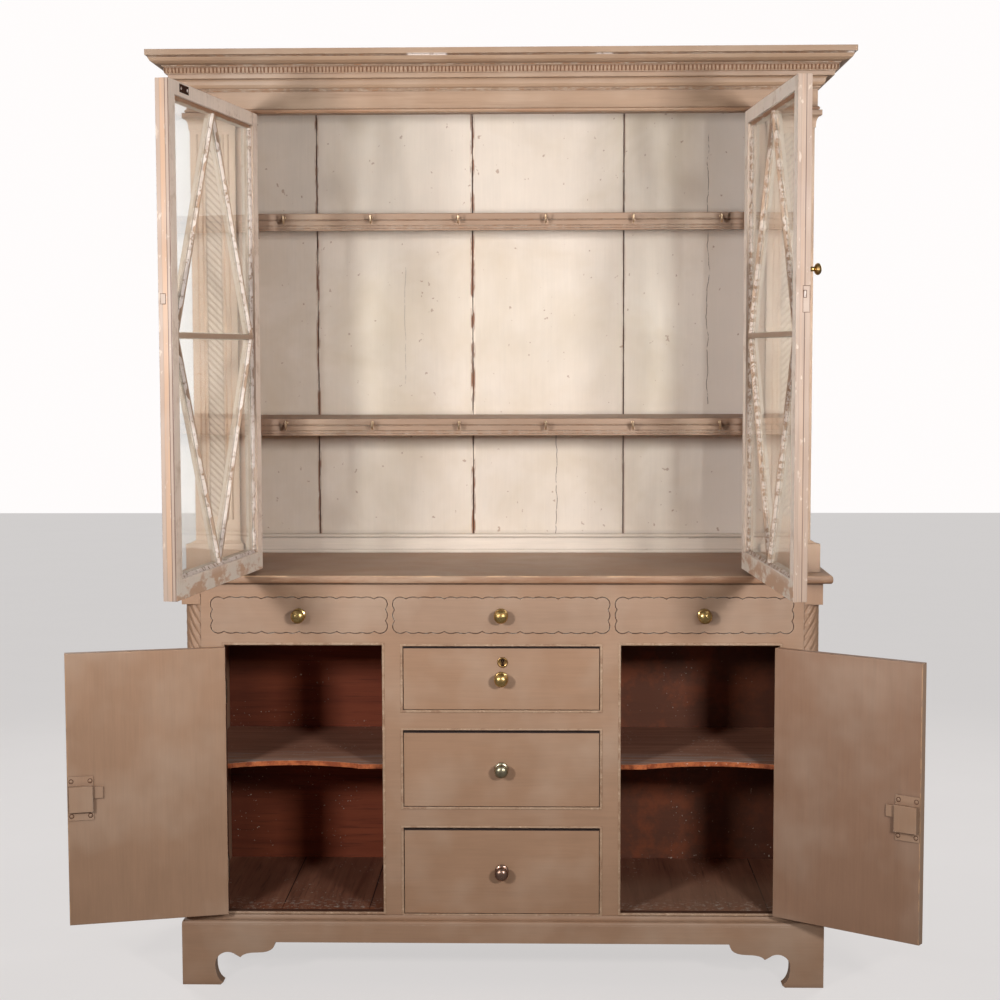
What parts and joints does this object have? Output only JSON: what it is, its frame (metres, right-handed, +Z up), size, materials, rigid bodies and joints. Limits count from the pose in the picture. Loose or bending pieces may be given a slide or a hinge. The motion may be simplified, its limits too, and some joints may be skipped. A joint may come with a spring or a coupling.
{
  "type": "welsh dresser",
  "caption": "Painted welsh dresser with open cupboard doors, scalloped frieze drawers, rope-carved corners, bracket feet and a glazed upper cabinet with plate shelves.",
  "frame": {"origin": "middle of the bounding box footprint with the doors as pictured, at floor level", "axes": "+X to the right seen from the front, +Y to the back, +Z up"},
  "size_m": [1.8266, 0.9696, 2.042],
  "materials": {
    "taupe_painted_wood": "worn eggshell paint",
    "deep_taupe_painted_wood": "worn eggshell paint",
    "cream_painted_wood": "worn eggshell paint",
    "stained_wood": "dark stain",
    "brass": "aged",
    "worn_iron": "painted and worn",
    "glass": "clear"
  },
  "bodies": {
    "carcase": {"front_plinth": "taupe_painted_wood", "side_plinth_left": "deep_taupe_painted_wood", "side_plinth_right": "deep_taupe_painted_wood", "base_side_left": "deep_taupe_painted_wood", "base_side_right": "deep_taupe_painted_wood", "base_back_panel": "stained_wood", "base_floor_board": "stained_wood", "partition_left": "stained_wood", "partition_right": "stained_wood", "frieze_dust_board": "stained_wood", "drawer_dust_board_middle": "stained_wood", "drawer_dust_board_upper": "stained_wood", "cupboard_shelf_left": "stained_wood", "cupboard_shelf_right": "stained_wood", "base_face_frame": "taupe_painted_wood", "corner_column_left": "taupe_painted_wood", "corner_column_right": "taupe_painted_wood", "worktop": "taupe_painted_wood", "cupboard_hinge_left_lower": "worn_iron", "cupboard_hinge_left_upper": "worn_iron", "cupboard_hinge_right_lower": "worn_iron", "cupboard_hinge_right_upper": "worn_iron", "upper_side_left": "taupe_painted_wood", "upper_side_right": "taupe_painted_wood", "upper_top_board": "stained_wood", "upper_back_boards": "cream_painted_wood", "upper_back_rail": "cream_painted_wood", "upper_face_frame": "taupe_painted_wood", "pilaster_left": "taupe_painted_wood", "pilaster_right": "taupe_painted_wood", "cornice": "taupe_painted_wood", "plate_shelf_lower": "cream_painted_wood", "plate_shelf_upper": "cream_painted_wood", "glazed_hinge_left_lower": "worn_iron", "glazed_hinge_left_upper": "worn_iron", "glazed_hinge_right_lower": "worn_iron", "glazed_hinge_right_upper": "worn_iron"},
    "cupboard_door_left": {"cupboard_door_left": "taupe_painted_wood", "cupboard_door_knob_left": "brass", "cupboard_lock_left": "worn_iron"},
    "cupboard_door_right": {"cupboard_door_right": "taupe_painted_wood", "cupboard_door_knob_right": "brass", "cupboard_lock_right": "worn_iron"},
    "glazed_door_left": {"glazed_door_left": "cream_painted_wood", "glass_pane_left": "glass"},
    "glazed_door_right": {"glazed_door_right": "cream_painted_wood", "glass_pane_right": "glass", "glazed_door_knob": "brass"},
    "frieze_drawer_left": {"frieze_drawer_left": "taupe_painted_wood", "frieze_drawer_knob_left": "brass"},
    "frieze_drawer_centre": {"frieze_drawer_centre": "taupe_painted_wood", "frieze_drawer_knob_centre": "brass"},
    "frieze_drawer_right": {"frieze_drawer_right": "taupe_painted_wood", "frieze_drawer_knob_right": "brass"},
    "drawer_upper": {"drawer_upper": "taupe_painted_wood", "drawer_knob_upper": "brass"},
    "drawer_middle": {"drawer_middle": "taupe_painted_wood", "drawer_knob_middle": "brass"},
    "drawer_lower": {"drawer_lower": "taupe_painted_wood", "drawer_knob_lower": "brass"}
  },
  "joints": [
    {"name": "cupboard_door_left_hinge", "type": "hinge", "parent": "carcase", "child": "cupboard_door_left", "pos_m": [-0.58268, 0.01032, 0.4575], "axis": [0, 0, -1], "range_deg": [-165.5, 4.5]},
    {"name": "cupboard_door_right_hinge", "type": "hinge", "parent": "carcase", "child": "cupboard_door_right", "pos_m": [0.63032, 0.01032, 0.4575], "axis": [0, 0, 1], "range_deg": [-145.1, 24.9]},
    {"name": "glazed_door_left_hinge", "type": "hinge", "parent": "carcase", "child": "glazed_door_left", "pos_m": [-0.53668, 0.07532, 1.416], "axis": [0, 0, -1], "range_deg": [-98.4, 21.6]},
    {"name": "glazed_door_right_hinge", "type": "hinge", "parent": "carcase", "child": "glazed_door_right", "pos_m": [0.58432, 0.07532, 1.416], "axis": [0, 0, 1], "range_deg": [-94, 26]},
    {"name": "frieze_drawer_left_slide", "type": "slide", "parent": "carcase", "child": "frieze_drawer_left", "axis": [0, -1, 0], "range_m": [0, 0.36]},
    {"name": "frieze_drawer_centre_slide", "type": "slide", "parent": "carcase", "child": "frieze_drawer_centre", "axis": [0, -1, 0], "range_m": [0, 0.36]},
    {"name": "frieze_drawer_right_slide", "type": "slide", "parent": "carcase", "child": "frieze_drawer_right", "axis": [0, -1, 0], "range_m": [0, 0.36]},
    {"name": "drawer_upper_slide", "type": "slide", "parent": "carcase", "child": "drawer_upper", "axis": [0, -1, 0], "range_m": [0, 0.36]},
    {"name": "drawer_middle_slide", "type": "slide", "parent": "carcase", "child": "drawer_middle", "axis": [0, -1, 0], "range_m": [0, 0.36]},
    {"name": "drawer_lower_slide", "type": "slide", "parent": "carcase", "child": "drawer_lower", "axis": [0, -1, 0], "range_m": [0, 0.36]}
  ]
}
